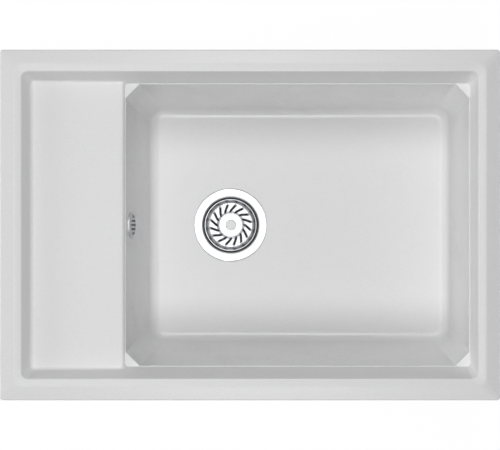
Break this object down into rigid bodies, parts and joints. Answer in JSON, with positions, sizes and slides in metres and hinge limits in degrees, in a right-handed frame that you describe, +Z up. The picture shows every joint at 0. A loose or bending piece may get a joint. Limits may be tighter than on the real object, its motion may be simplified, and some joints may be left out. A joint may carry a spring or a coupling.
{
  "type": "kitchen sink with drainboard",
  "caption": "Drop-in composite kitchen sink: one deep bowl with a recessed drainboard beside it, a basket strainer waste and a wall overflow piped to it.",
  "frame": {"origin": "centre of the worktop cut-out, on the worktop's top surface", "axes": "+X along the sink from the drainboard to the bowl, +Y to the back, +Z up out of the worktop"},
  "size_m": [0.72, 0.505, 0.2795],
  "materials": {
    "composite": "satin",
    "polished_steel": "polished",
    "zinc_steel": "satin",
    "white_plastic": "satin",
    "grey_plastic": "matte",
    "knob_grey": "satin",
    "rubber": "matte",
    "foam": "matte"
  },
  "bodies": {
    "sink": {"sink_body": "composite", "rim_seal": "foam", "clip_screws": "zinc_steel", "clip_dowels": "grey_plastic", "strainer_dish": "polished_steel", "dish_gasket": "rubber", "body_gasket": "rubber", "centre_screw": "polished_steel", "waste_body": "white_plastic", "overflow_cap": "polished_steel", "overflow_bushing": "white_plastic", "overflow_gasket": "rubber", "overflow_elbow": "white_plastic", "overflow_pipe": "white_plastic", "elbow_joint_seal": "rubber", "elbow_joint_nut": "white_plastic", "waste_joint_seal": "rubber", "waste_joint_nut": "white_plastic"},
    "basket_post": {"basket_stem": "polished_steel", "basket_knob": "knob_grey", "stem_ring": "rubber"},
    "strainer_basket": {"basket": "polished_steel", "basket_gasket": "rubber"},
    "clip_1": {"worktop_clip_1": "zinc_steel"},
    "clip_2": {"worktop_clip_2": "zinc_steel"},
    "clip_3": {"worktop_clip_3": "zinc_steel"},
    "clip_4": {"worktop_clip_4": "zinc_steel"},
    "clip_5": {"worktop_clip_5": "zinc_steel"},
    "clip_6": {"worktop_clip_6": "zinc_steel"},
    "clip_7": {"worktop_clip_7": "zinc_steel"},
    "clip_8": {"worktop_clip_8": "zinc_steel"}
  },
  "joints": [
    {"name": "basket_lift", "type": "slide", "parent": "sink", "child": "basket_post", "axis": [0, 0, 1], "range_m": [0, 0.25]},
    {"name": "basket_turn", "type": "hinge", "parent": "basket_post", "child": "strainer_basket", "pos_m": [-0.03, 0, -0.1957], "axis": [0, 0, 1], "continuous": true},
    {"name": "clip_1_slide", "type": "slide", "parent": "sink", "child": "clip_1", "axis": [0, 0, 1], "range_m": [-0.004, 0.01]},
    {"name": "clip_2_slide", "type": "slide", "parent": "sink", "child": "clip_2", "axis": [0, 0, 1], "range_m": [-0.004, 0.01]},
    {"name": "clip_3_slide", "type": "slide", "parent": "sink", "child": "clip_3", "axis": [0, 0, 1], "range_m": [-0.004, 0.01]},
    {"name": "clip_4_slide", "type": "slide", "parent": "sink", "child": "clip_4", "axis": [0, 0, 1], "range_m": [-0.004, 0.01]},
    {"name": "clip_5_slide", "type": "slide", "parent": "sink", "child": "clip_5", "axis": [0, 0, 1], "range_m": [-0.004, 0.01]},
    {"name": "clip_6_slide", "type": "slide", "parent": "sink", "child": "clip_6", "axis": [0, 0, 1], "range_m": [-0.004, 0.01]},
    {"name": "clip_7_slide", "type": "slide", "parent": "sink", "child": "clip_7", "axis": [0, 0, 1], "range_m": [-0.004, 0.01]},
    {"name": "clip_8_slide", "type": "slide", "parent": "sink", "child": "clip_8", "axis": [0, 0, 1], "range_m": [-0.004, 0.01]}
  ]
}
